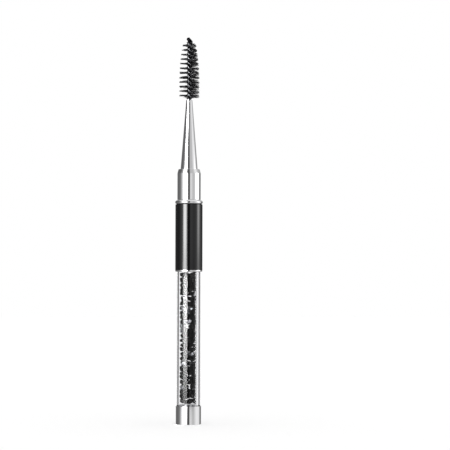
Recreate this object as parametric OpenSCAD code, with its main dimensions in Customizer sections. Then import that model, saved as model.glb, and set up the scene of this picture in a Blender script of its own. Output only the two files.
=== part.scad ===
// Eyebrow brush pen with a twisted wire spoolie and a clear barrel filled with black crystals.
// It stands on its end cap: +Z runs up the pen, and the origin is the middle of the flat base.

/* [End cap] */
// Wall of the end cap round the tube
end_cap_wall = 0.245; // [0.2:0.005:1]
// Height of the end cap up to its rim
end_cap_h = 6.3; // [5:0.1:12]
// Thickness of the end cap's floor
end_cap_floor = 1.4; // [0.8:0.1:2.5]
// Rounding of the edge that the pen stands on
foot_round = 0.2; // [0.05:0.01:0.5]
// Height over which the rim's outer edge curves in towards the tube
lip_h = 0.2; // [0.1:0.05:2]
// Thickness that the rim curves down to
lip_land = 0.1; // [0.02:0.01:0.18]

/* [Clear tube] */
// Outer diameter of the clear tube
tube_d = 8.3; // [7.1:0.1:12]
// Bore of the clear tube, which holds the crystals
tube_bore_d = 4.5; // [4:0.1:5.2]
// Length of tube that shows between the end cap and the barrel's rim
tube_show = 46.5; // [30:0.1:90]
// Length of tube that goes up inside the barrel
tube_tuck = 6.0; // [4:0.5:12]
// Bevel on the tube's polished ends
tube_bevel = 0.15; // [0.05:0.05:0.4]
// Height of the lower plug's head above the end cap's rim
plug_rise = 0.6; // [0.1:0.05:3]

/* [Crystals] */
// Radius of the ball that each crystal turns in
crystal_r = 0.9; // [0.7:0.02:0.92]
// Number of sides of each crystal
crystal_sides = 8; // [5:1:8]

/* [Barrel] */
// Wall of the lacquered barrel round the tube
barrel_wall = 0.585; // [0.3:0.005:1.5]
// Length of the lacquered barrel
barrel_len = 22.85; // [18:0.05:40]
// Height of the thin metal rim below the barrel
rim_h = 0.6; // [0.4:0.05:1]
// Bevel on the rim's lower edge
rim_bevel = 0.2; // [0.05:0.05:0.3]
// Length of the connector's spigot in the tube's bore
spigot_len = 6.6; // [3:0.1:12]
// Wall of the connector round the collar's shank
connector_wall = 0.9; // [0.4:0.05:1.2]

/* [Collar] */
// How far the bead ring stands out of the barrel's side
bead_proud = 0.12; // [0.05:0.01:1]
// Height of the bead ring
bead_h = 1.6; // [1:0.05:2.4]
// How far the collar for the cap stands back from the barrel's side
collar_step = 0.66; // [0.2:0.005:0.8]
// Length of the collar above the bead ring
collar_len = 10.7; // [8:0.1:18]
// Height of the bevel on the collar's shoulder
shoulder_h = 1.3; // [0.3:0.05:2]
// How far that bevel runs in
shoulder_in = 0.35; // [0.1:0.05:0.5]
// Length of the collar's shank below the bead ring's top
shank_len = 9.0; // [5:0.5:13]

/* [Cone] */
// Diameter of the cone at its foot
cone_foot_d = 6.0; // [5.2:0.1:6.4]
// Diameter of the cone at its tip
cone_tip_d = 2.15; // [1.95:0.05:3]
// Length of the cone
cone_len = 24.25; // [15:0.05:40]
// Diameter of the tail that holds the cone in the collar
tail_d = 4.8; // [3:0.1:5]
// Length of that tail
tail_len = 7.5; // [4:0.5:7.5]
// Depth of the wires' hole in the cone
wire_hole_depth = 9.0; // [5:0.5:14]

/* [Brush head] */
// Thickness of each of the two wires
wire_d = 0.7; // [0.5:0.02:0.74]
// Height in which the two wires make one full turn
twist_pitch = 3.2; // [2.4:0.02:5]
// Length of the brush head from the cone's tip to the ends of the wires
head_len = 21.9; // [14:0.1:40]
// Reach of the bristles from the axis at the foot of the head
bristle_foot_r = 3.65; // [2.5:0.05:5]
// Reach of the bristles from the axis at the tip
bristle_tip_r = 2.25; // [1.2:0.05:5]
// How late the head tapers: 1 is a straight taper, and more keeps it wide for longer
taper_power = 3.5; // [1:0.1:6]
// Thickness of one bristle
bristle_d = 0.1; // [0.06:0.01:0.14]
// Clear height between one bristle and the next
bristle_gap = 0.025; // [0.01:0.005:0.1]
// Bare wire between the cone's tip and the first bristle
bare_foot = 0.5; // [0.2:0.05:2]
// Bare wire above the last bristle
bare_tip = 1.7; // [0.5:0.05:3]

/* [Fits] */
// Radial gap that the glue fills between turned pieces
glue_gap = 0.04; // [0.02:0.01:0.08]

/* [Hidden] */
$fn = 96;

// Heights of the joints between the pieces, from the base up
tube_foot_z = end_cap_floor;
plug_top_z = end_cap_h + plug_rise;
rim_z = end_cap_h + tube_show;
barrel_z = rim_z + rim_h;
tube_top_z = barrel_z + tube_tuck;
bead_z = barrel_z + barrel_len;
collar_z = bead_z + bead_h;
cone_z = collar_z + collar_len;
cone_tip_z = cone_z + cone_len;
wire_end_z = cone_tip_z + head_len;

// Diameters that follow from the tube and the walls round it
sleeve_d = tube_d + 2 * glue_gap;
end_cap_d = sleeve_d + 2 * end_cap_wall;
barrel_d = sleeve_d + 2 * barrel_wall;
bead_d = barrel_d + 2 * bead_proud;
collar_d = barrel_d - 2 * collar_step;

// Fits between the pieces
spigot_d = tube_bore_d - 2 * glue_gap;
spigot_foot_z = tube_top_z - spigot_len;
shank_d = tube_d - 2 * connector_wall - 2 * glue_gap;
shank_hole_d = shank_d + 2 * glue_gap;
shank_foot_z = collar_z - shank_len;
tail_hole_d = tail_d + 2 * glue_gap;
tail_hole_depth = tail_len + glue_gap;
wire_gap = bristle_d + glue_gap / 2;
wire_offset = (wire_d + wire_gap) / 2;
wire_hole_d = wire_d + 2 * wire_offset + 2 * glue_gap;
wire_foot_z = cone_tip_z - wire_hole_depth + glue_gap;

// Broken edge of the turned pieces, and how far a cut runs past the face that it opens
edge_break = 0.12;
past = 1;

// A straight hole of the given height that opens at both ends
module hole(d, h) {
    translate([0, 0, -past]) cylinder(d = d, h = h + 2 * past);
}

// A hole from height z that opens upwards through a face at height top
module socket(d, z, top) {
    translate([0, 0, z]) cylinder(d = d, h = top - z + past);
}

// Turned bar from height z up to top, with both edges broken
module turned_bar(d, z, top, edge) {
    r = d / 2;
    rotate_extrude()
        polygon([[0, z], [r - edge, z], [r, z + edge], [r, top - edge], [r - edge, top], [0, top]]);
}

// Cup of bright metal that closes the foot of the tube. Its rim curves in to the tube on one arc,
// which starts upright and has run in by lip_in at the top.
lip_in = end_cap_wall - lip_land;
lip_arc_r = (pow(lip_h, 2) + pow(lip_in, 2)) / (2 * lip_in);

module end_cap() {
    r = end_cap_d / 2;
    color("gainsboro") rotate_extrude() difference() {
        union() {
            square([r - foot_round, end_cap_h]);
            translate([0, foot_round]) square([r, end_cap_h - lip_h - foot_round]);
            translate([r - foot_round, foot_round]) circle(r = foot_round, $fn = 32);
            intersection() {
                translate([0, end_cap_h - lip_h]) square([r, lip_h]);
                translate([r - lip_arc_r, end_cap_h - lip_h]) circle(r = lip_arc_r);
            }
        }
        translate([r - lip_in, end_cap_h - lip_h]) difference() {
            square([lip_in + past, lip_h + past]);
            translate([lip_in - lip_arc_r, 0]) circle(r = lip_arc_r);
        }
        translate([0, end_cap_floor]) square([sleeve_d / 2, end_cap_h]);
        translate([-end_cap_d, -past]) square([end_cap_d, end_cap_h + 2 * past]);
    }
}

// Turned plug in the foot of the bore, under the crystals
module tube_plug() {
    color("silver") turned_bar(spigot_d, end_cap_floor, plug_top_z, edge_break);
}

// Thick-walled clear tube with polished, bevelled ends
module clear_tube() {
    color([0.86, 0.88, 0.92, 0.35]) difference() {
        turned_bar(tube_d, tube_foot_z, tube_top_z, tube_bevel);
        translate([0, 0, tube_foot_z]) hole(tube_bore_d, tube_top_z - tube_foot_z);
    }
}

// Loose cut crystals in staggered rings. Each one keeps inside a ball of its own, so that no two meet.
ring_r = tube_bore_d / 2 - crystal_r - glue_gap / 2;
crystals_per_ring = max(3, floor(180 / asin(min(1, crystal_r / ring_r))));
step_across = 2 * ring_r * sin(90 / crystals_per_ring);
ring_pitch_min = sqrt(pow(2 * crystal_r, 2) - pow(step_across, 2));
crystal_span = spigot_foot_z - plug_top_z - 2 * crystal_r;
ring_count = floor(crystal_span / ring_pitch_min) + 1;
ring_pitch = crystal_span / (ring_count - 1);

// Cut of one crystal, as shares of its ball's radius: [radius, height] of the table and the girdle
table_share = [0.6, 0.64];
girdle_share = [0.97, 0.2];
culet_share = 0.88;
tilt_seed = 41;

function ring_of_points(r, z, n) = [for (i = [0:n - 1]) [r * cos(360 * i / n), r * sin(360 * i / n), z]];

module crystal(r, n) {
    points = concat(ring_of_points(r * table_share[0], r * table_share[1], n),
                    ring_of_points(r * girdle_share[0], r * girdle_share[1], n),
                    [[0, 0, -r * culet_share]]);
    table = [for (i = [n - 1:-1:0]) i];
    crown = [for (i = [0:n - 1]) [i, (i + 1) % n, n + (i + 1) % n, n + i]];
    pavilion = [for (i = [0:n - 1]) [n + i, n + (i + 1) % n, 2 * n]];
    polyhedron(points, concat([table], crown, pavilion));
}

module crystals() {
    tilts = rands(0, 360, 3 * ring_count * crystals_per_ring, tilt_seed);
    color([0.06, 0.06, 0.07]) for (k = [0:ring_count - 1], j = [0:crystals_per_ring - 1]) {
        i = 3 * (k * crystals_per_ring + j);
        rotate((j + k / 2) * 360 / crystals_per_ring)
            translate([ring_r, 0, plug_top_z + crystal_r + k * ring_pitch])
                rotate([tilts[i], tilts[i + 1], tilts[i + 2]])
                    crystal(crystal_r - glue_gap / 4, crystal_sides);
    }
}

// Thin metal rim under the lacquered barrel, bevelled towards the tube
module barrel_rim() {
    r = barrel_d / 2;
    color("silver") translate([0, 0, rim_z]) difference() {
        rotate_extrude()
            polygon([[0, 0], [r - rim_bevel, 0], [r, rim_bevel], [r, rim_h], [0, rim_h]]);
        hole(sleeve_d, rim_h);
    }
}

// Lacquered sleeve that joins the tube to the brush end
module barrel() {
    color([0.09, 0.09, 0.1]) difference() {
        turned_bar(barrel_d, barrel_z, bead_z, edge_break);
        translate([0, 0, barrel_z]) hole(sleeve_d, barrel_len);
    }
}

// Moulded connector inside the barrel: its spigot closes the crystals in, its socket takes the shank
module connector() {
    color("whitesmoke") difference() {
        union() {
            turned_bar(spigot_d, spigot_foot_z, tube_top_z + past, edge_break);
            turned_bar(tube_d, tube_top_z, bead_z, edge_break);
        }
        socket(shank_hole_d, shank_foot_z, bead_z);
    }
}

// Bright bead ring between the barrel and the collar
module bead_ring() {
    round_r = bead_h / 2;
    color("gainsboro") translate([0, 0, bead_z]) difference() {
        rotate_extrude() {
            square([bead_d / 2 - round_r, bead_h]);
            intersection() {
                translate([bead_d / 2 - round_r, round_r]) circle(r = round_r, $fn = 48);
                square([bead_d, bead_h]);
            }
        }
        hole(shank_hole_d, bead_h);
    }
}

// Collar that the cap slides over, with a shank through the bead ring into the connector
module cap_collar() {
    r = collar_d / 2;
    color("gainsboro") difference() {
        union() {
            turned_bar(shank_d, shank_foot_z + glue_gap, collar_z + past, edge_break);
            translate([0, 0, collar_z]) rotate_extrude()
                polygon([[0, 0], [r, 0], [r, collar_len - shoulder_h],
                         [r - shoulder_in, collar_len], [0, collar_len]]);
        }
        socket(tail_hole_d, cone_z - tail_hole_depth, cone_z);
    }
}

// Long cone that carries the twisted wires, with a tail glued into the collar
module cone_ferrule() {
    color("gainsboro") difference() {
        union() {
            turned_bar(tail_d, cone_z - tail_len, cone_z + past, edge_break);
            translate([0, 0, cone_z]) cylinder(d1 = cone_foot_d, d2 = cone_tip_d, h = cone_len);
        }
        socket(wire_hole_d, cone_tip_z - wire_hole_depth, cone_tip_z);
    }
}

// The brush head twists to the left. Its turn is set by the topmost row of bristles that points
// straight to the left, this far below the ends of the wires.
top_row_drop = 2.74;
function turn_at(z) = 180 - 360 * (z - wire_end_z + top_row_drop) / twist_pitch;

// Two wires twisted round each other, with the bristles pinched between them
wire_sides = 8;
steps_per_turn = 12;

module twisted_wire() {
    len = wire_end_z - wire_foot_z;
    turns = len / twist_pitch;
    color("darkgray") translate([0, 0, wire_foot_z]) rotate(turn_at(wire_foot_z) + 90)
        for (side = [-1, 1])
            linear_extrude(height = len, twist = 360 * turns, slices = ceil(steps_per_turn * turns),
                           $fn = wire_sides)
                translate([side * wire_offset, 0]) circle(d = wire_d);
}

// Straight bristles, each one filament through the axis, like the treads of a spiral stair
bristle_foot_z = cone_tip_z + bare_foot;
bristle_span = head_len - bare_foot - bare_tip;
bristle_step = bristle_d + bristle_gap;
bristle_count = floor(bristle_span / bristle_step) + 1;
function reach_at(z) = bristle_foot_r
    - (bristle_foot_r - bristle_tip_r) * pow((z - bristle_foot_z) / bristle_span, taper_power);

module bristles() {
    color([0.2, 0.2, 0.21]) for (i = [0:bristle_count - 1]) {
        z = bristle_foot_z + i * bristle_step;
        translate([0, 0, z]) rotate(turn_at(z)) rotate([0, 90, 0])
            cylinder(d = bristle_d, h = 2 * reach_at(z), center = true, $fn = 16);
    }
}

end_cap();
tube_plug();
clear_tube();
crystals();
barrel_rim();
barrel();
connector();
bead_ring();
cap_collar();
cone_ferrule();
twisted_wire();
bristles();
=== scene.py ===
import math
from functools import partial

import bpy
from mathutils import Matrix, Vector


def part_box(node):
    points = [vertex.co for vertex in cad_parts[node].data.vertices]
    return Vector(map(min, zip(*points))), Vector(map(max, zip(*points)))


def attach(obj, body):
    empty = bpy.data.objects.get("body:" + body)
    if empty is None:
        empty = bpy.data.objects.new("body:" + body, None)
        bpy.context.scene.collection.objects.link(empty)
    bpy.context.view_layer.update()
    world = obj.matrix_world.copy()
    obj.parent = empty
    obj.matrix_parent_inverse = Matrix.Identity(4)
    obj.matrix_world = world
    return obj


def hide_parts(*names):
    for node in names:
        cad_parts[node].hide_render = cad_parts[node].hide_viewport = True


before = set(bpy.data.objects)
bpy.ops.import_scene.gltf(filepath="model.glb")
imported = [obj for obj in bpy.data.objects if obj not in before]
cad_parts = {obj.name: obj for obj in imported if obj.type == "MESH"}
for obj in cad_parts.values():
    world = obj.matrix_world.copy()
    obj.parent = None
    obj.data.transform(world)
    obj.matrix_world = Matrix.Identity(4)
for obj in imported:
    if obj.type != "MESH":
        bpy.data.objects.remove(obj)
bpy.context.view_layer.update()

mm = 0.001
scene = bpy.context.scene


def linear(hexColour):  # sRGB hex to the linear colour that the shaders take
    parts = [int(hexColour[i:i + 2], 16) / 255 for i in (1, 3, 5)]
    return tuple(p / 12.92 if p <= 0.04045 else ((p + 0.055) / 1.055) ** 2.4 for p in parts) + (1.0,)


def addNode(tree, kind, inputs=(), **settings):
    # Adds one node, with its settings, values and links. Inputs go by name or in order. A node given
    # as an input stands for its first output, and a list holds all that one input joins.
    made = tree.nodes.new(kind)
    for name, value in settings.items():
        setattr(made, name, value)
    for key, value in inputs.items() if isinstance(inputs, dict) else enumerate(inputs):
        for source in value if isinstance(value, list) else [value]:
            if isinstance(source, bpy.types.Node):
                source = next(output for output in source.outputs if output.enabled)
            if isinstance(source, bpy.types.NodeSocket):
                tree.links.new(source, made.inputs[key])
            else:
                made.inputs[key].default_value = source
    return made


# The camera stands level with the middle of the pen and looks up by a hair, as in the photo.
cameraSettings = {
    "distance": 597.0,  # mm from the pen
    "height": 52.0,  # mm above the floor
    "right": 12.56,  # mm to the right of the pen's axis
    "pitch": 1.647,  # degrees upwards
    "roll": 0.135,  # degrees anticlockwise
    "lens": 137.1,
    "sensor": 36.0,
}


def makeCamera(values):
    data = bpy.data.cameras.new("studioCamera")
    data.lens = values["lens"]
    data.sensor_width = values["sensor"]
    data.clip_start = 0.01
    data.clip_end = 10
    camera = bpy.data.objects.new("studioCamera", data)
    camera.location = Vector((values["right"], -values["distance"], values["height"])) * mm
    aim = Matrix.Rotation(math.radians(90 + values["pitch"]), 3, "X")
    camera.rotation_euler = (aim @ Matrix.Rotation(math.radians(values["roll"]), 3, "Z")).to_euler()
    scene.collection.objects.link(camera)
    scene.camera = camera


makeCamera(cameraSettings)
print("camera placed")

# The studio round the pen. Angles are in degrees round the pen, 0 towards the camera and + to its right.
# Metal and glass see the white room with its dark flags and two softboxes, and the camera sees white.
studio = {
    "walls": [  # angle and brightness of the room round the lower pen
        (-180, 1.0), (-165, 0.9), (-152, 0.25), (-140, 0.14), (-120, 0.15), (-95, 0.19), (-84, 0.3),
        (-74, 0.55), (-64, 0.95), (-57, 1.2), (-13, 1.25), (-10, 0.4), (-8, 0.1), (7, 0.08), (10, 0.4),
        (13, 0.78), (18, 0.84), (28, 0.78), (42, 0.58), (54, 0.66), (66, 0.86), (78, 0.98), (106, 0.95),
        (113, 0.8), (121, 0.45), (128, 0.17), (135, 0.1), (150, 0.1), (157, 0.9), (180, 1.0),
    ],
    "upper": [  # and higher up, where the cone looks
        (-180, 1.0), (-157, 0.9), (-150, 0.12), (-120, 0.13), (-95, 0.13), (-83, 0.2), (-75, 0.36),
        (-65, 0.6), (-58, 0.8), (-49, 1.0), (-29, 1.1), (-22, 0.85), (-16, 0.25), (-11, 0.1), (5, 0.09),
        (10, 0.36), (14, 0.6), (45, 0.6), (53, 0.74), (59, 0.85), (69, 1.0), (81, 1.0), (91, 0.8),
        (99, 0.66), (118, 0.5), (150, 0.42), (160, 0.9), (180, 1.0),
    ],
    # What the clear tube lets through: white behind the pen with two dark flags, and black in front
    # of it with two bright strips, which give the stones their glints
    "behind": [
        (-180, 0.95), (-136, 0.9), (-132, 0.1), (-124, 0.1), (-120, 0.85), (-90, 0.8), (-80, 0.05),
        (-52, 0.05), (-47, 3.0), (-38, 3.0), (-33, 0.05), (34, 0.05), (38, 2.0), (46, 2.0), (50, 0.05),
        (80, 0.05), (90, 0.8), (122, 0.85), (126, 0.1), (135, 0.1), (139, 0.9), (180, 0.95),
    ],
    "cards": [  # black cards beside the tube alone: the share of the room's light that they take away
        (-180, 0), (-92, 0), (-82, 0.4), (-66, 0.4), (-58, 0), (7, 0), (14, 0.45), (20, 0.65), (45, 0.65),
        (58, 0), (180, 0),
    ],
    # Softboxes: the angles where each one starts, is full, and ends, beside the tube, the barrel and
    # the cone, and its power. "fade" is where it fades out downwards.
    "leftBox": {
        "tube": (-60, -43, -19, -8), "barrel": (-53, -39, -25, -12), "cone": (-55, -50, -34, -28),
        "power": 18.0, "fade": (-0.085, -0.024),
    },
    "rightBox": {
        "tube": (68, 84, 92, 106), "barrel": (68, 84, 92, 106),
        "power": 4.6, "fade": (-0.03, 0.035),
    },
    # Heights, as the sines of the elevation between which one light passes into the next
    "cardFoot": (-0.0785, -0.074),
    "cardTop": (-0.004, 0.0),
    "barrelFoot": (-0.002, 0.0),
    "barrelDusk": (0.004, 0.018),
    "coneFoot": (0.08, 0.19),
    "boxTop": (0.62, 0.68),
    "ceilingEdge": (0.62, 0.77),
    "groundEdge": (-0.55, -0.75),
    "dusk": 0.5,  # share of the softboxes' light that is left at the foot of the barrel
    "ceiling": 0.9,
    "ceilingBehind": 0.2,  # over the clear tube
    "ground": 0.42,
}


def lightRing(add, share, stops):  # brightness by angle round the pen
    ramp = add("ShaderNodeValToRGB", (share,))
    elements = ramp.color_ramp.elements
    while len(elements) > 1:
        elements.remove(elements[-1])
    for i, (angle, level) in enumerate(stops):
        place = angle / 360 + 0.5
        element = elements[0] if i == 0 else elements.new(place)
        element.position = place
        element.color = (level, level, level, 1)
    return ramp


def makeWorld(values):
    world = bpy.data.worlds.new("studioWorld")
    scene.world = world
    world.use_nodes = True
    world.node_tree.nodes.clear()
    add = partial(addNode, world.node_tree)
    direction = add("ShaderNodeSeparateXYZ", (add("ShaderNodeTexCoord").outputs["Generated"],)).outputs
    forward = add("ShaderNodeMath", (direction["Y"], -1.0), operation="MULTIPLY")
    angle = add("ShaderNodeMath", (direction["X"], forward), operation="ARCTAN2")
    share = add("ShaderNodeMath", (angle, 2 * math.pi), operation="DIVIDE")
    share = add("ShaderNodeMath", (share, 0.5), operation="ADD")
    rise = direction["Z"]  # the sine of the elevation
    path = add("ShaderNodeLightPath").outputs
    through = path["Is Transmission Ray"]
    notThrough = add("ShaderNodeMath", (1.0, through), operation="SUBTRACT")
    onBarrel = add("ShaderNodeMapRange", (rise, *values["barrelFoot"], 0.0, 1.0))
    dusk = add("ShaderNodeMapRange", (rise, *values["barrelDusk"], values["dusk"], 1.0))
    onCone = add("ShaderNodeMapRange", (rise, *values["coneFoot"], 0.0, 1.0))
    boxTop = add("ShaderNodeMapRange", (rise, *values["boxTop"], 1.0, 0.0))

    # The room, with the cards beside the tube, and what the clear tube lets through
    light = add("ShaderNodeMix", {
        "Factor": onCone,
        "A": lightRing(add, share, values["walls"]),
        "B": lightRing(add, share, values["upper"])})
    overFoot = add("ShaderNodeMapRange", (rise, *values["cardFoot"], 0.0, 1.0))
    underTop = add("ShaderNodeMapRange", (rise, *values["cardTop"], 1.0, 0.0))
    beside = add("ShaderNodeMath", (overFoot, underTop), operation="MULTIPLY")
    taken = add("ShaderNodeMath", (lightRing(add, share, values["cards"]), beside), operation="MULTIPLY")
    left = add("ShaderNodeMath", (1.0, taken), operation="SUBTRACT")
    light = add("ShaderNodeMath", (light, left), operation="MULTIPLY")
    light = add("ShaderNodeMix", {
        "Factor": through, "A": light, "B": lightRing(add, share, values["behind"])})

    for box in (values["leftBox"], values["rightBox"]):
        masks = {"tube": 0.0, "barrel": 0.0, "cone": 0.0}
        for part in [name for name in masks if name in box]:
            stops = [(-180, 0), *zip(box[part], (0, 1, 1, 0)), (180, 0)]
            masks[part] = lightRing(add, share, stops)
        barrelMask = add("ShaderNodeMath", (masks["barrel"], dusk), operation="MULTIPLY")
        mask = add("ShaderNodeMix", {"Factor": onBarrel, "A": masks["tube"], "B": barrelMask})
        mask = add("ShaderNodeMix", {"Factor": onCone, "A": mask, "B": masks["cone"]})
        power = add("ShaderNodeMapRange", (rise, *box["fade"], 0.0, box["power"]))
        power = add("ShaderNodeMath", (power, notThrough), operation="MULTIPLY")
        glow = add("ShaderNodeMath", (mask, power), operation="MULTIPLY")
        glow = add("ShaderNodeMath", (glow, boxTop), operation="MULTIPLY")
        light = add("ShaderNodeMath", (light, glow), operation="ADD")

    above = add("ShaderNodeMapRange", (rise, *values["ceilingEdge"], 0.0, 1.0))
    below = add("ShaderNodeMapRange", (rise, *values["groundEdge"], 0.0, 1.0))
    ceiling = add("ShaderNodeMix", {
        "Factor": through, "A": values["ceiling"], "B": values["ceilingBehind"]})
    light = add("ShaderNodeMix", {"Factor": above, "A": light, "B": ceiling})
    light = add("ShaderNodeMix", {"Factor": below, "A": light, "B": values["ground"]})

    # The camera and rough surfaces see plain white
    sees = add("ShaderNodeMath", (path["Is Glossy Ray"], through), operation="MAXIMUM")
    notCamera = add("ShaderNodeMath", (1.0, path["Is Camera Ray"]), operation="SUBTRACT")
    sees = add("ShaderNodeMath", (sees, notCamera), operation="MULTIPLY")
    colour = add("ShaderNodeMix", {"Factor": sees, "A": (1, 1, 1, 1), "B": light}, data_type="RGBA")
    add("ShaderNodeOutputWorld", (add("ShaderNodeBackground", (colour, 1.0)),))


makeWorld(studio)


def newMaterial(name):  # an empty material, and the function that adds its nodes
    material = bpy.data.materials.new(name)
    material.use_nodes = True
    material.node_tree.nodes.clear()
    return material, partial(addNode, material.node_tree)


# A white floor. Metal and glass don't see it, so that they show the studio down to the foot.
floorSettings = {
    "size": 3000.0,  # mm
    "colour": "#E6E6E6",
    "lift": 0.22,  # a glow that only the camera sees, which brings the paper up to white
}


def makeFloor(values):
    half = values["size"] / 2 * mm
    mesh = bpy.data.meshes.new("floor")
    corners = [(-half, -half, 0), (half, -half, 0), (half, half, 0), (-half, half, 0)]
    mesh.from_pydata(corners, [], [(0, 1, 2, 3)])
    floor = bpy.data.objects.new("floor", mesh)
    scene.collection.objects.link(floor)
    floor.visible_glossy = False
    floor.visible_transmission = False
    material, add = newMaterial("whitePaperFloor")
    paper = add("ShaderNodeBsdfDiffuse", {"Color": linear(values["colour"])})
    seen = add("ShaderNodeLightPath").outputs["Is Camera Ray"]
    lift = add("ShaderNodeMath", (seen, values["lift"]), operation="MULTIPLY")
    glow = add("ShaderNodeEmission", {"Color": (1, 1, 1, 1), "Strength": lift})
    add("ShaderNodeOutputMaterial", (add("ShaderNodeAddShader", (paper, glow)),))
    mesh.materials.append(material)


makeFloor(floorSettings)
print("studio lit")


def objectNoise(add, sizeMm, detail=2.0, stretch=(1, 1, 1)):  # noise whose lumps are sizeMm across
    place = add("ShaderNodeTexCoord").outputs["Object"]
    scale = tuple(share / (sizeMm * mm) for share in stretch)
    mapped = add("ShaderNodeMapping", {"Vector": place, "Scale": scale})
    return add("ShaderNodeTexNoise", {"Vector": mapped, "Scale": 1.0, "Detail": detail})


# Bright chrome plate on turned brass: mirror reflections, with the faintest ripple from polishing
chromeSettings = {
    "colour": "#E9E9EA",
    "smooth": 0.03,
    "worn": 0.055,
    "cloudMm": 6.0,
    "rippleMm": 3.0,
    "rippleDepth": 0.0006,  # mm
}


def makeChrome(values):
    material, add = newMaterial("chromePlate")
    cloud = objectNoise(add, values["cloudMm"])
    ripple = objectNoise(add, values["rippleMm"], 1.0, (1, 1, 0.4))
    shader = add("ShaderNodeBsdfPrincipled", {
        "Base Color": linear(values["colour"]),
        "Metallic": 1.0,
        "Roughness": add("ShaderNodeMapRange", (cloud, 0.0, 1.0, values["smooth"], values["worn"])),
        "Normal": add("ShaderNodeBump", {
            "Height": ripple, "Strength": 1.0, "Distance": values["rippleDepth"] * mm})})
    add("ShaderNodeOutputMaterial", (shader,))
    return material


# Black stoved enamel on metal: a deep wet gloss, with a trace of orange peel
lacquerSettings = {
    "colour": "#0A0A0C",
    "ior": 1.5,
    "roughness": 0.07,
    "peelMm": 0.9,
    "peelDepth": 0.0009,  # mm
}


def makeLacquer(values):
    material, add = newMaterial("blackStovedEnamel")
    peel = objectNoise(add, values["peelMm"])
    shader = add("ShaderNodeBsdfPrincipled", {
        "Base Color": linear(values["colour"]),
        "IOR": values["ior"],
        "Roughness": values["roughness"],
        "Normal": add("ShaderNodeBump", {
            "Height": peel, "Strength": 1.0, "Distance": values["peelDepth"] * mm})})
    add("ShaderNodeOutputMaterial", (shader,))
    return material


# Extruded acrylic with polished ends: clear as water, and it bends the light like a lens
acrylicSettings = {
    "colour": "#FCFCFE",
    "ior": 1.49,
    "roughness": 0.0,
    "glueEdge": (1.85, 2.0),  # mm to the right of the axis, where the stones' glue stops
    "glueLumpMm": 1.6,
    "glueSpread": 0.3,  # mm
    "rimEdge": (0.64, 0.82),  # the thin rim, seen along the wall, stays light
    "rimClear": 0.8,
}


def glassIn(add, values):  # the acrylic's own shader
    return add("ShaderNodeBsdfPrincipled", {
        "Base Color": linear(values["colour"]),
        "IOR": values["ior"],
        "Roughness": values["roughness"],
        "Transmission Weight": 1.0})


def makeAcrylic(values):
    material, add = newMaterial("clearAcrylic")
    facing = add("ShaderNodeLayerWeight", {"Blend": 0.5}).outputs["Facing"]
    rim = add("ShaderNodeMapRange", (facing, *values["rimEdge"], 0.0, values["rimClear"]))
    both = add("ShaderNodeMixShader", (rim, glassIn(add, values), add("ShaderNodeBsdfTransparent")))
    add("ShaderNodeOutputMaterial", (both,))
    return material


# Clear glue fills the bore round the stones, apart from one side, where it is air against acrylic
def makeBore(values):
    material, add = newMaterial("acrylicBoreWithGlue")
    place = add("ShaderNodeTexCoord").outputs["Object"]
    across = add("ShaderNodeSeparateXYZ", (place,)).outputs["X"]
    across = add("ShaderNodeMath", (across, mm), operation="DIVIDE")
    lumps = objectNoise(add, values["glueLumpMm"])
    lumps = add("ShaderNodeMath", (lumps, 0.5), operation="SUBTRACT")
    lumps = add("ShaderNodeMath", (lumps, values["glueSpread"]), operation="MULTIPLY")
    across = add("ShaderNodeMath", (across, lumps), operation="ADD")
    wet = add("ShaderNodeMapRange", (across, *values["glueEdge"], 1.0, 0.0))
    both = add("ShaderNodeMixShader", (wet, glassIn(add, values), add("ShaderNodeBsdfTransparent")))
    add("ShaderNodeOutputMaterial", (both,))
    return material


# Jet glass, cut and polished: black in the body, with hard glints on single facets. A few stones
# still carry their silver foil, and flash white.
jetSettings = {
    "colour": "#040405",
    "foil": "#C9CACE",
    "ior": 1.55,
    "smooth": 0.02,
    "dull": 0.1,
    "cloudMm": 2.0,
    "soot": 0.42,  # share of each black facet that gives no gloss
}


def makeJet(values):
    material, add = newMaterial("jetGlass")
    cloud = objectNoise(add, values["cloudMm"])
    foiled = add("ShaderNodeAttribute", attribute_name="foiled").outputs["Fac"]
    colours = {"Factor": foiled, "A": linear(values["colour"]), "B": linear(values["foil"])}
    shader = add("ShaderNodeBsdfPrincipled", {
        "Base Color": add("ShaderNodeMix", colours, data_type="RGBA"),
        "IOR": values["ior"],
        "Metallic": foiled,
        "Roughness": add("ShaderNodeMapRange", (cloud, 0.0, 1.0, values["smooth"], values["dull"]))})
    soot = add("ShaderNodeBsdfDiffuse", {"Color": linear(values["colour"])})
    share = add("ShaderNodeMix", {"Factor": foiled, "A": values["soot"], "B": 0.0})
    add("ShaderNodeOutputMaterial", (add("ShaderNodeMixShader", (share, shader, soot)),))
    return material


# Drawn steel wire: a dull grey gleam between the filaments, and painted shade at the tip, where the
# colour turns black
wireSettings = {
    "colour": "#76777A",
    "dark": "#0C0C0E",
    "roughness": 0.36,
    "tipShadeSpan": (3.12, 1.68),  # mm below the tip, between which the painted shade, a black colour, begins
    "scratchMm": 0.15,  # real drawing marks are finer, and wouldn't show
    "scratchDepth": 0.004,  # mm
}


def makeWire(values, topZ):
    material, add = newMaterial("drawnSteelWire")
    place = add("ShaderNodeTexCoord").outputs["Object"]
    height = add("ShaderNodeSeparateXYZ", (place,)).outputs["Z"]
    start, end = [topZ - depth * mm for depth in values["tipShadeSpan"]]
    # painted shade: the wire's colour runs from steel grey to black over the last few mm below its tip
    paintedTipShade = add("ShaderNodeMapRange", (height, start, end, 0.0, 1.0))
    colours = {"Factor": paintedTipShade, "A": linear(values["colour"]), "B": linear(values["dark"])}
    scratches = objectNoise(add, values["scratchMm"])
    shader = add("ShaderNodeBsdfPrincipled", {
        "Base Color": add("ShaderNodeMix", colours, data_type="RGBA"),
        "Metallic": 1.0,
        "Roughness": values["roughness"],
        "Normal": add("ShaderNodeBump", {
            "Height": scratches, "Strength": 0.5, "Distance": values["scratchDepth"] * mm})})
    add("ShaderNodeOutputMaterial", (shader,))
    return material


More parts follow.
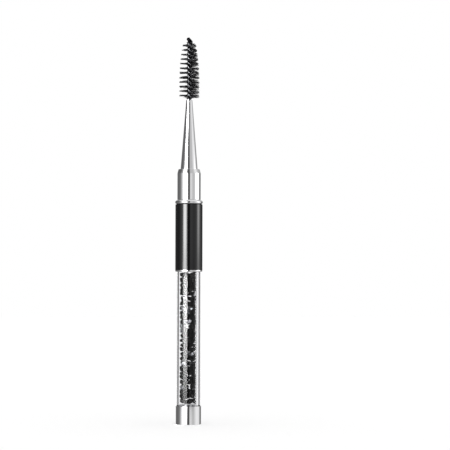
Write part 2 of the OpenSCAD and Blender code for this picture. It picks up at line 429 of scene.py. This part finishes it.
# Nylon filament: near black, with a satin sheen along each hair
nylonSettings = {
    "colour": "#17171A",
    "pale": "#2A2A2E",
    "ior": 1.53,
    "roughness": 0.42,
    "cloudMm": 0.5,
}


def makeNylon(values):
    material, add = newMaterial("nylonFilament")
    cloud = objectNoise(add, values["cloudMm"])
    colours = {"Factor": cloud, "A": linear(values["colour"]), "B": linear(values["pale"])}
    shader = add("ShaderNodeBsdfPrincipled", {
        "Base Color": add("ShaderNodeMix", colours, data_type="RGBA"),
        "IOR": values["ior"],
        "Roughness": values["roughness"]})
    add("ShaderNodeOutputMaterial", (shader,))
    return material


# Turned aluminium for the plug in the foot of the tube: a satin shine that changes in fine rings
aluminiumSettings = {
    "colour": "#D8D9DB",
    "smooth": 0.22,
    "rough": 0.36,
    "ringMm": 0.3,  # real tool marks are finer, and wouldn't show
}


def makeAluminium(values):
    material, add = newMaterial("turnedAluminium")
    rings = objectNoise(add, values["ringMm"], 2.0, (1, 1, 6))
    shader = add("ShaderNodeBsdfPrincipled", {
        "Base Color": linear(values["colour"]),
        "Metallic": 1.0,
        "Roughness": add("ShaderNodeMapRange", (rings, 0.0, 1.0, values["smooth"], values["rough"]))})
    add("ShaderNodeOutputMaterial", (shader,))
    return material


# White ABS, moulded, for the connector that the barrel hides: a soft sheen with a fine grain
absSettings = {
    "colour": "#D9D8D4",
    "smooth": 0.44,
    "rough": 0.56,
    "grainMm": 0.4,
}


def makeAbs(values):
    material, add = newMaterial("whiteAbs")
    grain = objectNoise(add, values["grainMm"])
    shader = add("ShaderNodeBsdfPrincipled", {
        "Base Color": linear(values["colour"]),
        "Roughness": add("ShaderNodeMapRange", (grain, 0.0, 1.0, values["smooth"], values["rough"]))})
    add("ShaderNodeOutputMaterial", (shader,))
    return material


chrome = makeChrome(chromeSettings)
lacquer = makeLacquer(lacquerSettings)
acrylic = makeAcrylic(acrylicSettings)
bore = makeBore(acrylicSettings)
jet = makeJet(jetSettings)
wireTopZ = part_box("twisted_wire")[1].z
wireSteel = makeWire(wireSettings, wireTopZ)
nylon = makeNylon(nylonSettings)
aluminium = makeAluminium(aluminiumSettings)
whiteAbs = makeAbs(absSettings)
print("materials mixed")


def finishPiece(piece, node):  # hands a finished piece to the frame
    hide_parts(node)
    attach(piece, "root")


def rounded(corners, radius=0, steps=5):  # a closed outline whose corners are eased by arcs
    outline = []
    count = len(corners)
    for i, (x, y, *own) in enumerate(corners):
        here = Vector((x, y))
        before = Vector(corners[i - 1][:2]) - here
        after = Vector(corners[(i + 1) % count][:2]) - here
        reach = own[0] if own else radius
        reach = min(reach, before.length * 0.45, after.length * 0.45)  # so that two arcs never meet
        if reach <= 0:
            outline.append((x, y))
            continue
        start = here + before.normalized() * reach
        end = here + after.normalized() * reach
        for k in range(steps + 1):
            t = k / steps
            point = start * (1 - t) ** 2 + here * (2 * t * (1 - t)) + end * t ** 2
            outline.append((point.x, point.y))
    return outline


def held(outline, reach=0.02):  # a ring beside each end of a long face keeps its shading straight
    full = []
    for i, (x, y) in enumerate(outline):
        full.append((x, y))
        along = Vector(outline[(i + 1) % len(outline)]) - Vector((x, y))
        if along.length > 20 * reach:
            step = along.normalized() * reach
            full += [(x + step.x, y + step.y), (x + along.x - step.x, y + along.y - step.y)]
    return full


def turned(name, outline, material, around=160, boreFrom=None, boreMaterial=None):
    # Turns a closed outline of [radius, height] in mm round the pen's axis. The outline runs
    # anticlockwise, up the outside and down the inside, so that faces point outwards. Faces out to
    # the radius boreFrom take the second material.
    outline = held(outline)
    points = []
    faces = []
    rows = len(outline)
    onAxis = [r < 1e-6 for r, _ in outline]
    starts = []
    for (r, z), pole in zip(outline, onAxis):
        starts.append(len(points))
        for s in range(1 if pole else around):
            a = 2 * math.pi * s / around
            points.append((r * math.cos(a) * mm, r * math.sin(a) * mm, z * mm))
    inner = []
    for i in range(rows):
        j = (i + 1) % rows
        if onAxis[i] and onAxis[j]:
            continue
        for s in range(around):
            t = (s + 1) % around
            low = [starts[i]] if onAxis[i] else [starts[i] + s, starts[i] + t]
            high = [starts[j]] if onAxis[j] else [starts[j] + t, starts[j] + s]
            faces.append(low + high)
            inner.append(boreFrom is not None and max(outline[i][0], outline[j][0]) <= boreFrom)
    mesh = bpy.data.meshes.new(name)
    mesh.from_pydata(points, [], faces)
    mesh.materials.append(material)
    if boreMaterial:
        mesh.materials.append(boreMaterial)
        for polygon, inside in zip(mesh.polygons, inner):
            polygon.material_index = 1 if inside else 0
    for polygon in mesh.polygons:
        polygon.use_smooth = True
    mesh.set_sharp_from_angle(angle=math.radians(38))  # sharper corners than this stay edges
    mesh.validate()
    piece = bpy.data.objects.new(name, mesh)
    scene.collection.objects.link(piece)
    return piece


def span(node):  # a node's foot, top and outer radius in mm
    low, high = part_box(node)
    return low.z / mm, high.z / mm, high.x / mm


# The boxes give each turned piece its height and outer radius, and its dictionary gives the rest, in
# mm. These sizes are shared by two pieces that fit together.
glueGap = 0.04
tubeLow, tubeTop, tubeR = span("clear_tube")
sleeveR = tubeR + glueGap  # bore of the pieces round the tube
shankR = 3.21  # the collar's shank, which the bead ring sits round
tailR = 2.4  # the cone's tail, glued into the collar
socketDepth = 7.54

# End cap: a thin-walled cup
endCap = {"floor": 1.4, "footRound": 0.1, "rimRound": 0.03, "boreRound": 0.02, "floorRound": 0.1}


def makeEndCap(values):
    low, top, r = span("end_cap")
    floor = values["floor"]
    outline = rounded([
        (0, low, 0), (r, low, values["footRound"]), (r, top, values["rimRound"]),
        (sleeveR, top, values["boreRound"]), (sleeveR, floor, values["floorRound"]), (0, floor, 0)])
    finishPiece(turned("endCap", outline, chrome), "end_cap")


makeEndCap(endCap)

clearTube = {"bore": 2.25, "bevel": 0.15, "around": 512}


def makeTube(values):
    inner = values["bore"]
    bevel = values["bevel"]
    outline = rounded([
        (inner, tubeLow, 0), (tubeR, tubeLow, bevel), (tubeR, tubeTop, bevel), (inner, tubeTop, 0)])
    tube = turned("clearTube", outline, acrylic, values["around"], inner + 0.001, bore)
    finishPiece(tube, "clear_tube")


makeTube(clearTube)

tubePlug = {"edge": 0.08, "around": 96}


def makePlug(values):
    low, top, r = span("tube_plug")
    outline = rounded([(0, low, 0), (r, low), (r, top), (0, top, 0)], values["edge"])
    plug = turned("tubePlug", outline, aluminium, values["around"])
    finishPiece(plug, "tube_plug")


makePlug(tubePlug)

barrelRim = {"bevel": 0.2, "bevelRound": 0.15, "topRound": 0.02, "boreRound": 0.03}


def makeRim(values):
    low, top, r = span("barrel_rim")
    bevel = values["bevel"]
    outline = rounded([
        (sleeveR, low, values["boreRound"]), (r - bevel, low), (r, low + bevel),
        (r, top, values["topRound"]), (sleeveR, top, values["boreRound"])], values["bevelRound"])
    finishPiece(turned("barrelRim", outline, chrome), "barrel_rim")


makeRim(barrelRim)

barrel = {"edge": 0.03}


def makeBarrel(values):
    low, top, r = span("barrel")
    outline = rounded([(sleeveR, low), (r, low), (r, top), (sleeveR, top)], values["edge"])
    finishPiece(turned("lacqueredBarrel", outline, lacquer), "barrel")


makeBarrel(barrel)

# Bead ring: half round outside
beadRing = {"steps": 12}


def makeBead(values):
    low, top, r = span("bead_ring")
    half = (top - low) / 2
    outline = [(shankR + glueGap, low)]
    for step in range(values["steps"] + 1):
        a = math.pi * (step / values["steps"] - 0.5)
        outline.append((r - half + half * math.cos(a), low + half + half * math.sin(a)))
    outline.append((shankR + glueGap, top))
    finishPiece(turned("beadRing", outline, chrome), "bead_ring")


makeBead(beadRing)

# Collar for the cap, with its shank and the socket for the cone's tail
capCollar = {
    "length": 10.7,
    "shoulderHeight": 1.3,
    "shoulderIn": 0.35,
    "shoulderRound": 0.35,
    "topRound": 0.1,
    "edge": 0.08,
}


def makeCollar(values):
    low, top, r = span("cap_collar")
    face = top - values["length"]
    socket = tailR + glueGap
    floor = top - socketDepth
    outline = rounded([
        (0, low, 0), (shankR, low), (shankR, face, 0), (r, face),
        (r, top - values["shoulderHeight"], values["shoulderRound"]),
        (r - values["shoulderIn"], top, values["topRound"]),
        (socket, top, 0), (socket, floor, 0), (0, floor, 0)], values["edge"])
    finishPiece(turned("capCollar", outline, chrome), "cap_collar")


makeCollar(capCollar)

# Cone, with its tail and the blind hole for the wires
coneFerrule = {
    "length": 24.25,
    "foot": 3.0,
    "tip": 1.075,
    "footRound": 0.06,
    "tipRound": 0.1,
    "wireHole": 0.8,
    "wireHoleDepth": 9.0,
    "edge": 0.08,
}


def makeCone(values):
    low, top, _ = span("cone_ferrule")
    foot = top - values["length"]
    floor = top - values["wireHoleDepth"]
    hole = values["wireHole"]
    outline = rounded([
        (0, low, 0), (tailR, low), (tailR, foot, 0), (values["foot"], foot, values["footRound"]),
        (values["tip"], top, values["tipRound"]), (hole, top, 0), (hole, floor, 0), (0, floor, 0)],
        values["edge"])
    finishPiece(turned("coneFerrule", outline, chrome), "cone_ferrule")


makeCone(coneFerrule)

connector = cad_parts["connector"]  # hidden in the barrel, so its own mesh serves
connector.data.materials.clear()
connector.data.materials.append(whiteAbs)
print("turned pieces made")


def newTree(name, inputs):  # an empty Geometry Nodes tree, what adds its nodes, and its number inputs
    tree = bpy.data.node_groups.new(name, "GeometryNodeTree")
    tree.interface.new_socket("Geometry", in_out="OUTPUT", socket_type="NodeSocketGeometry")
    for key, value in inputs.items():
        kind = "NodeSocketInt" if isinstance(value, int) else "NodeSocketFloat"
        tree.interface.new_socket(key, in_out="INPUT", socket_type=kind)
    add = partial(addNode, tree)
    return tree, add, add("NodeGroupInput").outputs


def grow(name, tree, geometry, values, material):  # ends the tree, runs it and keeps the plain mesh
    real = addNode(tree, "GeometryNodeRealizeInstances", {"Geometry": geometry})
    painted = addNode(tree, "GeometryNodeSetMaterial", {"Geometry": real, "Material": material})
    addNode(tree, "NodeGroupOutput", (painted,))
    host = bpy.data.objects.new(name + "Host", bpy.data.meshes.new(name + "Host"))
    scene.collection.objects.link(host)
    modifier = host.modifiers.new("grow", "NODES")
    modifier.node_group = tree
    sockets = {s.name: s.identifier for s in tree.interface.items_tree
               if s.item_type == "SOCKET" and s.in_out == "INPUT"}
    for key, value in values.items():
        modifier[sockets[key]] = value
    host.update_tag()
    bpy.context.view_layer.update()
    evaluated = host.evaluated_get(bpy.context.evaluated_depsgraph_get())
    mesh = bpy.data.meshes.new_from_object(evaluated)
    mesh.name = name
    bpy.data.objects.remove(host)
    piece = bpy.data.objects.new(name, mesh)
    scene.collection.objects.link(piece)
    return piece


# Two wires twisted to the left round each other. They splay at the top, and one of them ends lower.
wireShape = {
    "Wire radius": 0.35 * mm,
    "Helix radius": 0.41 * mm,
    "Pitch": 3.2 * mm,
    "Length": 0.0,  # this and the next two are worked out from the CAD
    "Foot height": 0.0,
    "Start turn": 0.0,
    "Top row drop": 2.74 * mm,  # from the tip down to a row of bristles that lies across the picture
    "Lean length": 3.0 * mm,
    "First lean": 0.1 * mm,
    "First cut": 0.5 * mm,
    "Second lean": 0.5 * mm,
    "Second cut": 0.9 * mm,
    "Bend power": 1.6,
    "Splay": 0.1 * mm,
    "Swell": 0.85,  # the ends are thicker; their black is painted shade
    "Swell rate": 3.0,  # the swelling is full well before the bend is
    "Steps": 420,
    "Sides": 14,
}


def turnAt(z):  # angle of a bristle at height z, in radians
    return math.pi - 2 * math.pi * (z - wireTopZ + wireShape["Top row drop"]) / wireShape["Pitch"]


def strand(add, given, side, lean, cut):  # one wire, as a swept circle
    line = add("GeometryNodeMeshLine", {"Count": given["Steps"], "Offset": (0, 0, 0)}, mode="OFFSET")
    last = add("ShaderNodeMath", (given["Steps"], 1.0), operation="SUBTRACT")
    share = add("ShaderNodeMath", (add("GeometryNodeInputIndex"), last), operation="DIVIDE")
    reach = add("ShaderNodeMath", (given["Length"], given[cut]), operation="SUBTRACT")
    height = add("ShaderNodeMath", (share, reach), operation="MULTIPLY")
    turn = add("ShaderNodeMath", (height, given["Pitch"]), operation="DIVIDE")
    turn = add("ShaderNodeMath", (turn, 2 * math.pi), operation="MULTIPLY")
    angle = add("ShaderNodeMath", (given["Start turn"], turn), operation="SUBTRACT")
    angle = add("ShaderNodeMath", (angle, side), operation="ADD")

    # The bend grows from 0 to 1 over the lean length below the wire's end
    below = add("ShaderNodeMath", (reach, height), operation="SUBTRACT")
    below = add("ShaderNodeMath", (below, given["Lean length"]), operation="DIVIDE")
    bend = add("ShaderNodeMath", (1.0, below), operation="SUBTRACT")
    bend = add("ShaderNodeMath", (bend, 0.0), operation="MAXIMUM")
    bend = add("ShaderNodeMath", (bend, given["Bend power"]), operation="POWER")
    splay = add("ShaderNodeMath", (bend, given["Splay"]), operation="MULTIPLY")
    wide = add("ShaderNodeMath", (given["Helix radius"], splay), operation="ADD")
    cosine = add("ShaderNodeMath", (angle,), operation="COSINE")
    sine = add("ShaderNodeMath", (angle,), operation="SINE")
    across = add("ShaderNodeMath", (wide, cosine), operation="MULTIPLY")
    aside = add("ShaderNodeMath", (bend, given[lean]), operation="MULTIPLY")
    across = add("ShaderNodeMath", (across, aside), operation="ADD")
    deep = add("ShaderNodeMath", (wide, sine), operation="MULTIPLY")
    up = add("ShaderNodeMath", (given["Foot height"], height), operation="ADD")
    place = add("ShaderNodeCombineXYZ", (across, deep, up))
    bent = add("GeometryNodeSetPosition", {"Geometry": line, "Position": place})

    thick = add("ShaderNodeMath", (bend, given["Swell rate"]), operation="MULTIPLY")
    thick = add("ShaderNodeMath", (thick, 1.0), operation="MINIMUM")
    thick = add("ShaderNodeMath", (thick, given["Swell"]), operation="MULTIPLY")
    thick = add("ShaderNodeMath", (1.0, thick), operation="ADD")
    ring = add("GeometryNodeCurvePrimitiveCircle", {
        "Resolution": given["Sides"], "Radius": given["Wire radius"]})
    return add("GeometryNodeCurveToMesh", {
        "Curve": add("GeometryNodeMeshToCurve", {"Mesh": bent}),
        "Profile Curve": ring,
        "Scale": thick,
        "Fill Caps": True})


def makeWires(values, material):
    low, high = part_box("twisted_wire")
    values["Length"] = high.z - low.z
    values["Foot height"] = low.z
    values["Start turn"] = turnAt(low.z) + math.pi / 2
    tree, add, given = newTree("twistedWires", values)
    both = add("GeometryNodeJoinGeometry", {"Geometry": [
        strand(add, given, math.pi, "First lean", "First cut"),
        strand(add, given, 0.0, "Second lean", "Second cut")]})
    smooth = add("GeometryNodeSetShadeSmooth", {"Geometry": both})
    piece = grow("twistedWires", tree, smooth, values, material)
    finishPiece(piece, "twisted_wire")


makeWires(wireShape, wireSteel)

# Filaments pinched between the wires, each one straight through the axis. Angles are in radians, and
# each random node has a seed of its own.
bristleShape = {
    "Count": 900,
    "Foot height": 0.0,  # this, the span and the start turn are worked out from the CAD
    "Span": 0.0,
    "Pitch": wireShape["Pitch"],
    "Start turn": 0.0,
    "Foot reach": 3.65 * mm,
    "Tip reach": 2.25 * mm,
    "Taper power": 3.5,
    "Filament radius": 0.051 * mm,
    "Row offset": 0.15,  # of a row, by which the first row is shorter than the others
    "Row low": 0.4,  # share of the scatter that the tidiest row has
    "Row high": 1.5,  # and the bushiest
    "Row droop": 0.03,
    "Turn scatter": 0.3,
    "Tilt scatter": 0.06,
    "Reach scatter": 0.1,
    "Sag": 0.1 * mm,
    "Ruffle": 0.45 * mm,  # the right side has been brushed out of its rows
    "Ruffle low": -1.0,  # each filament's own share of it lies between these two
    "Ruffle high": 0.8,
    "Ruffle power": 1.3,
    "Trim": 0.9 * mm,  # the lowest filaments are cut short
    "Trim turn": 3.1,  # and turned to either side by up to this
    "Trim reach": 0.24,  # share of their length that is left at the foot
}


def makeBristles(values, material):
    low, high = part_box("bristles")
    values["Foot height"] = low.z
    values["Span"] = high.z - low.z
    values["Start turn"] = turnAt(low.z)
    tree, add, given = newTree("bristleHead", values)
    line = add("GeometryNodeMeshLine", {"Count": given["Count"], "Offset": (0, 0, 0)}, mode="OFFSET")
    along = add("ShaderNodeMath", (add("GeometryNodeInputIndex"), given["Count"]), operation="DIVIDE")
    height = add("ShaderNodeMath", (along, given["Span"]), operation="MULTIPLY")
    turns = add("ShaderNodeMath", (height, given["Pitch"]), operation="DIVIDE")
    turn = add("ShaderNodeMath", (turns, 2 * math.pi), operation="MULTIPLY")
    turn = add("ShaderNodeMath", (given["Start turn"], turn), operation="SUBTRACT")

    # Each half turn is a row of its own: one is bushier than the next, and one droops more
    row = add("ShaderNodeMath", (turns, 2.0), operation="MULTIPLY")
    row = add("ShaderNodeMath", (row, given["Row offset"]), operation="ADD")
    row = add("ShaderNodeMath", (row,), operation="FLOOR")
    bush = {"Min": given["Row low"], "Max": given["Row high"], "ID": row}
    loose = add("FunctionNodeRandomValue", {"Min": -1.0, "Max": 1.0, "Seed": 3}, data_type="FLOAT")
    loose = add("ShaderNodeMath", (loose, given["Turn scatter"]), operation="MULTIPLY")
    rowLoose = add("FunctionNodeRandomValue", {**bush, "Seed": 41}, data_type="FLOAT")
    loose = add("ShaderNodeMath", (loose, rowLoose), operation="MULTIPLY")
    turn = add("ShaderNodeMath", (turn, loose), operation="ADD")
    tilt = add("FunctionNodeRandomValue", {"Min": -1.0, "Max": 1.0, "Seed": 5}, data_type="FLOAT")
    tilt = add("ShaderNodeMath", (tilt, given["Tilt scatter"]), operation="MULTIPLY")
    rowTilt = add("FunctionNodeRandomValue", {**bush, "Seed": 43}, data_type="FLOAT")
    tilt = add("ShaderNodeMath", (tilt, rowTilt), operation="MULTIPLY")
    sway = {"Min": -1.0, "Max": 1.0, "ID": row, "Seed": 47}
    droop = add("FunctionNodeRandomValue", sway, data_type="FLOAT")
    droop = add("ShaderNodeMath", (droop, given["Row droop"]), operation="MULTIPLY")
    tilt = add("ShaderNodeMath", (tilt, droop), operation="ADD")

    # The lowest ones are short and point all ways, which makes the base dark
    trim = add("ShaderNodeMath", (height, given["Trim"]), operation="DIVIDE")
    trim = add("ShaderNodeMath", (trim, 1.0), operation="MINIMUM")
    spin = {"Min": -values["Trim turn"], "Max": given["Trim turn"], "Seed": 59}
    astray = add("FunctionNodeRandomValue", spin, data_type="FLOAT")
    astray = add("ShaderNodeMix", {"Factor": trim, "A": astray, "B": 0.0})
    turn = add("ShaderNodeMath", (turn, astray), operation="ADD")
    fall = add("ShaderNodeMath", (given["Foot reach"], given["Tip reach"]), operation="SUBTRACT")
    taper = add("ShaderNodeMath", (along, given["Taper power"]), operation="POWER")
    fall = add("ShaderNodeMath", (fall, taper), operation="MULTIPLY")
    reach = add("ShaderNodeMath", (given["Foot reach"], fall), operation="SUBTRACT")
    short = add("ShaderNodeMath", (trim, 2.0), operation="POWER")
    short = add("ShaderNodeMix", {"Factor": short, "A": given["Trim reach"], "B": 1.0})
    reach = add("ShaderNodeMath", (reach, short), operation="MULTIPLY")
    ragged = add("FunctionNodeRandomValue", {"Min": -1.0, "Max": 0.0, "Seed": 7}, data_type="FLOAT")
    ragged = add("ShaderNodeMath", (ragged, given["Reach scatter"]), operation="MULTIPLY")
    ragged = add("ShaderNodeMath", (ragged, 1.0), operation="ADD")
    reach = add("ShaderNodeMath", (reach, ragged), operation="MULTIPLY")
    up = add("ShaderNodeMath", (given["Foot height"], height), operation="ADD")
    place = add("ShaderNodeCombineXYZ", (0.0, 0.0, up))
    placed = add("GeometryNodeSetPosition", {"Geometry": line, "Position": place})

    # One filament, from -1 to 1 along X. Its ends sag, and its length comes from its scale.
    hair = add("GeometryNodeMeshLine", {
        "Count": 7, "Start Location": (-1, 0, 0), "Offset": (1 / 3, 0, 0)}, mode="OFFSET")
    across = add("ShaderNodeSeparateXYZ", (add("GeometryNodeInputPosition"),)).outputs["X"]
    drop = add("ShaderNodeMath", (across, across), operation="MULTIPLY")
    drop = add("ShaderNodeMath", (drop, given["Sag"]), operation="MULTIPLY")
    drop = add("ShaderNodeMath", (drop, -1.0), operation="MULTIPLY")
    drop = add("ShaderNodeCombineXYZ", (0.0, 0.0, drop))
    sagged = add("GeometryNodeSetPosition", {"Geometry": hair, "Offset": drop})
    ring = add("GeometryNodeCurvePrimitiveCircle", {
        "Resolution": 5, "Radius": given["Filament radius"]})
    filament = add("GeometryNodeCurveToMesh", {
        "Curve": add("GeometryNodeMeshToCurve", {"Mesh": sagged}),
        "Profile Curve": ring,
        "Fill Caps": True})
    spots = add("GeometryNodeInstanceOnPoints", {
        "Points": placed,
        "Instance": filament,
        "Rotation": add("ShaderNodeCombineXYZ", (0.0, tilt, turn)),
        "Scale": add("ShaderNodeCombineXYZ", (reach, 1.0, 1.0))})

    # Each filament rises or falls by its own share, the more the farther to the right
    own = {"Min": given["Ruffle low"], "Max": given["Ruffle high"], "Seed": 53}
    own = add("FunctionNodeRandomValue", own, data_type="FLOAT")
    marked = add("GeometryNodeStoreNamedAttribute", {
        "Geometry": spots, "Name": "ruffle", "Value": own}, data_type="FLOAT", domain="INSTANCE")
    real = add("GeometryNodeRealizeInstances", {"Geometry": marked})
    x = add("ShaderNodeSeparateXYZ", (add("GeometryNodeInputPosition"),)).outputs["X"]
    right = add("ShaderNodeMath", (x, 0.0), operation="MAXIMUM")
    right = add("ShaderNodeMath", (right, given["Foot reach"]), operation="DIVIDE")
    rise = add("ShaderNodeMath", (right, given["Ruffle power"]), operation="POWER")
    rise = add("ShaderNodeMath", (rise, given["Ruffle"]), operation="MULTIPLY")
    share = add("GeometryNodeInputNamedAttribute", {"Name": "ruffle"}, data_type="FLOAT")
    rise = add("ShaderNodeMath", (rise, share), operation="MULTIPLY")
    rise = add("ShaderNodeCombineXYZ", (0.0, 0.0, rise))
    ruffled = add("GeometryNodeSetPosition", {"Geometry": real, "Offset": rise})
    piece = grow("bristleHead", tree, ruffled, values, material)
    finishPiece(piece, "bristles")


makeBristles(bristleShape, nylon)
print("brush head made")

# Cut stones, packed in staggered rings in the bore and turned at random
stoneShape = {
    "Stones": 0,  # worked out from the CAD, like the foot height
    "Per ring": 5,
    "Reach": 2.1 * mm,  # the stones are ground flush with this radius, just off the wall of the bore
    "Ring pitch": 1.6 * mm,
    "Foot height": 0.0,
    "Stone radius": 1.15 * mm,
    "End room": 0.95,  # share of a stone's radius that the outermost rings keep from the ends
    "Side room": 0.7,  # and that all of them keep from the reach
    "Uneven": 0.15,
    "Shift": 0.15 * mm,
    "Turn scatter": 0.25,
    "Tumble": 6.283,  # radians by which each stone is turned about each of its axes, at most
    "Foiled": 0.1,  # share of the stones that flash
}


def makeStones(values, material):
    low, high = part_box("crystals")
    inside = values["Stone radius"] * values["End room"]
    rings = int((high.z - low.z - 2 * inside) / values["Ring pitch"]) + 1
    values["Stones"] = rings * values["Per ring"]
    values["Ring pitch"] = (high.z - low.z - 2 * inside) / (rings - 1)
    values["Foot height"] = low.z + inside
    tree, add, given = newTree("jetStones", values)

    # One stone of radius 1: the hull of a table, a ring of star points, a girdle, pavilion points and
    # a culet. Each has its radius, its height, and a 1 where it is turned by half a step.
    rows = [(0.58, 0.52, 0), (0.84, 0.34, 1), (1.0, 0.08, 0), (0.6, -0.42, 1), (0.02, -0.8, 0)]
    corners = []
    for radius, height, half in rows:
        circle = add("GeometryNodeMeshCircle", {"Vertices": 8, "Radius": radius}, fill_type="NONE")
        corners.append(add("GeometryNodeTransform", {
            "Geometry": circle, "Translation": (0, 0, height), "Rotation": (0, 0, half * math.pi / 8)}))
    stone = add("GeometryNodeConvexHull", {
        "Geometry": add("GeometryNodeJoinGeometry", {"Geometry": corners})})

    # Where each stone sits, how far it is turned round the axis, and its size
    line = add("GeometryNodeMeshLine", {"Count": given["Stones"], "Offset": (0, 0, 0)}, mode="OFFSET")
    index = add("GeometryNodeInputIndex")
    ring = add("ShaderNodeMath", (index, 0.5), operation="ADD")
    ring = add("ShaderNodeMath", (ring, given["Per ring"]), operation="DIVIDE")
    ring = add("ShaderNodeMath", (ring,), operation="FLOOR")
    past = add("ShaderNodeMath", (ring, given["Per ring"]), operation="MULTIPLY")
    seat = add("ShaderNodeMath", (index, past), operation="SUBTRACT")
    stagger = add("ShaderNodeMath", (ring, 0.5), operation="MULTIPLY")
    turn = add("ShaderNodeMath", (seat, stagger), operation="ADD")
    turn = add("ShaderNodeMath", (turn, given["Per ring"]), operation="DIVIDE")
    turn = add("ShaderNodeMath", (turn, 2 * math.pi), operation="MULTIPLY")
    loose = {"Min": -values["Turn scatter"], "Max": given["Turn scatter"], "Seed": 13}
    loose = add("FunctionNodeRandomValue", loose, data_type="FLOAT")
    turn = add("ShaderNodeMath", (turn, loose), operation="ADD")
    height = add("ShaderNodeMath", (ring, given["Ring pitch"]), operation="MULTIPLY")
    height = add("ShaderNodeMath", (given["Foot height"], height), operation="ADD")
    shift = add("FunctionNodeRandomValue", {"Min": -1.0, "Max": 1.0, "Seed": 17}, data_type="FLOAT")
    shift = add("ShaderNodeMath", (shift, given["Shift"]), operation="MULTIPLY")
    height = add("ShaderNodeMath", (height, shift), operation="ADD")
    size = add("FunctionNodeRandomValue", {"Min": -1.0, "Max": 0.0, "Seed": 31}, data_type="FLOAT")
    size = add("ShaderNodeMath", (size, given["Uneven"]), operation="MULTIPLY")
    size = add("ShaderNodeMath", (size, 1.0), operation="ADD")
    size = add("ShaderNodeMath", (given["Stone radius"], size), operation="MULTIPLY")
    room = add("ShaderNodeMath", (size, given["Side room"]), operation="MULTIPLY")
    out = add("ShaderNodeMath", (given["Reach"], room), operation="SUBTRACT")
    cosine = add("ShaderNodeMath", (turn,), operation="COSINE")
    sine = add("ShaderNodeMath", (turn,), operation="SINE")
    place = add("ShaderNodeCombineXYZ", (
        add("ShaderNodeMath", (out, cosine), operation="MULTIPLY"),
        add("ShaderNodeMath", (out, sine), operation="MULTIPLY"), height))
    placed = add("GeometryNodeSetPosition", {"Geometry": line, "Position": place})

    tumble = [{"Min": 0.0, "Max": given["Tumble"], "Seed": seed} for seed in (19, 23, 29)]
    tumble = tuple(add("FunctionNodeRandomValue", angle, data_type="FLOAT") for angle in tumble)
    spots = add("GeometryNodeInstanceOnPoints", {
        "Points": placed,
        "Instance": stone,
        "Rotation": add("ShaderNodeCombineXYZ", tumble),
        "Scale": add("ShaderNodeCombineXYZ", (size, size, size))})
    bare = add("ShaderNodeMath", (1.0, given["Foiled"]), operation="SUBTRACT")
    draw = add("FunctionNodeRandomValue", {"Min": 0.0, "Max": 1.0, "Seed": 37}, data_type="FLOAT")
    foiled = add("ShaderNodeMath", (draw, bare), operation="GREATER_THAN")
    marked = add("GeometryNodeStoreNamedAttribute", {
        "Geometry": spots, "Name": "foiled", "Value": foiled}, data_type="FLOAT", domain="INSTANCE")
    real = add("GeometryNodeRealizeInstances", {"Geometry": marked})

    # Points beyond the reach are pulled in to it
    x, y, z = add("ShaderNodeSeparateXYZ", (add("GeometryNodeInputPosition"),)).outputs
    far = add("ShaderNodeMath", (
        add("ShaderNodeMath", (x, 2.0), operation="POWER"),
        add("ShaderNodeMath", (y, 2.0), operation="POWER")), operation="ADD")
    far = add("ShaderNodeMath", (far,), operation="SQRT")
    keep = add("ShaderNodeMath", (given["Reach"], far), operation="DIVIDE")
    keep = add("ShaderNodeMath", (keep, 1.0), operation="MINIMUM")
    place = add("ShaderNodeCombineXYZ", (
        add("ShaderNodeMath", (x, keep), operation="MULTIPLY"),
        add("ShaderNodeMath", (y, keep), operation="MULTIPLY"), z))
    flush = add("GeometryNodeSetPosition", {"Geometry": real, "Position": place})
    piece = grow("jetStones", tree, flush, values, material)
    finishPiece(piece, "crystals")


makeStones(stoneShape, jet)
print("crystals packed")

scene.view_settings.view_transform = "Standard"
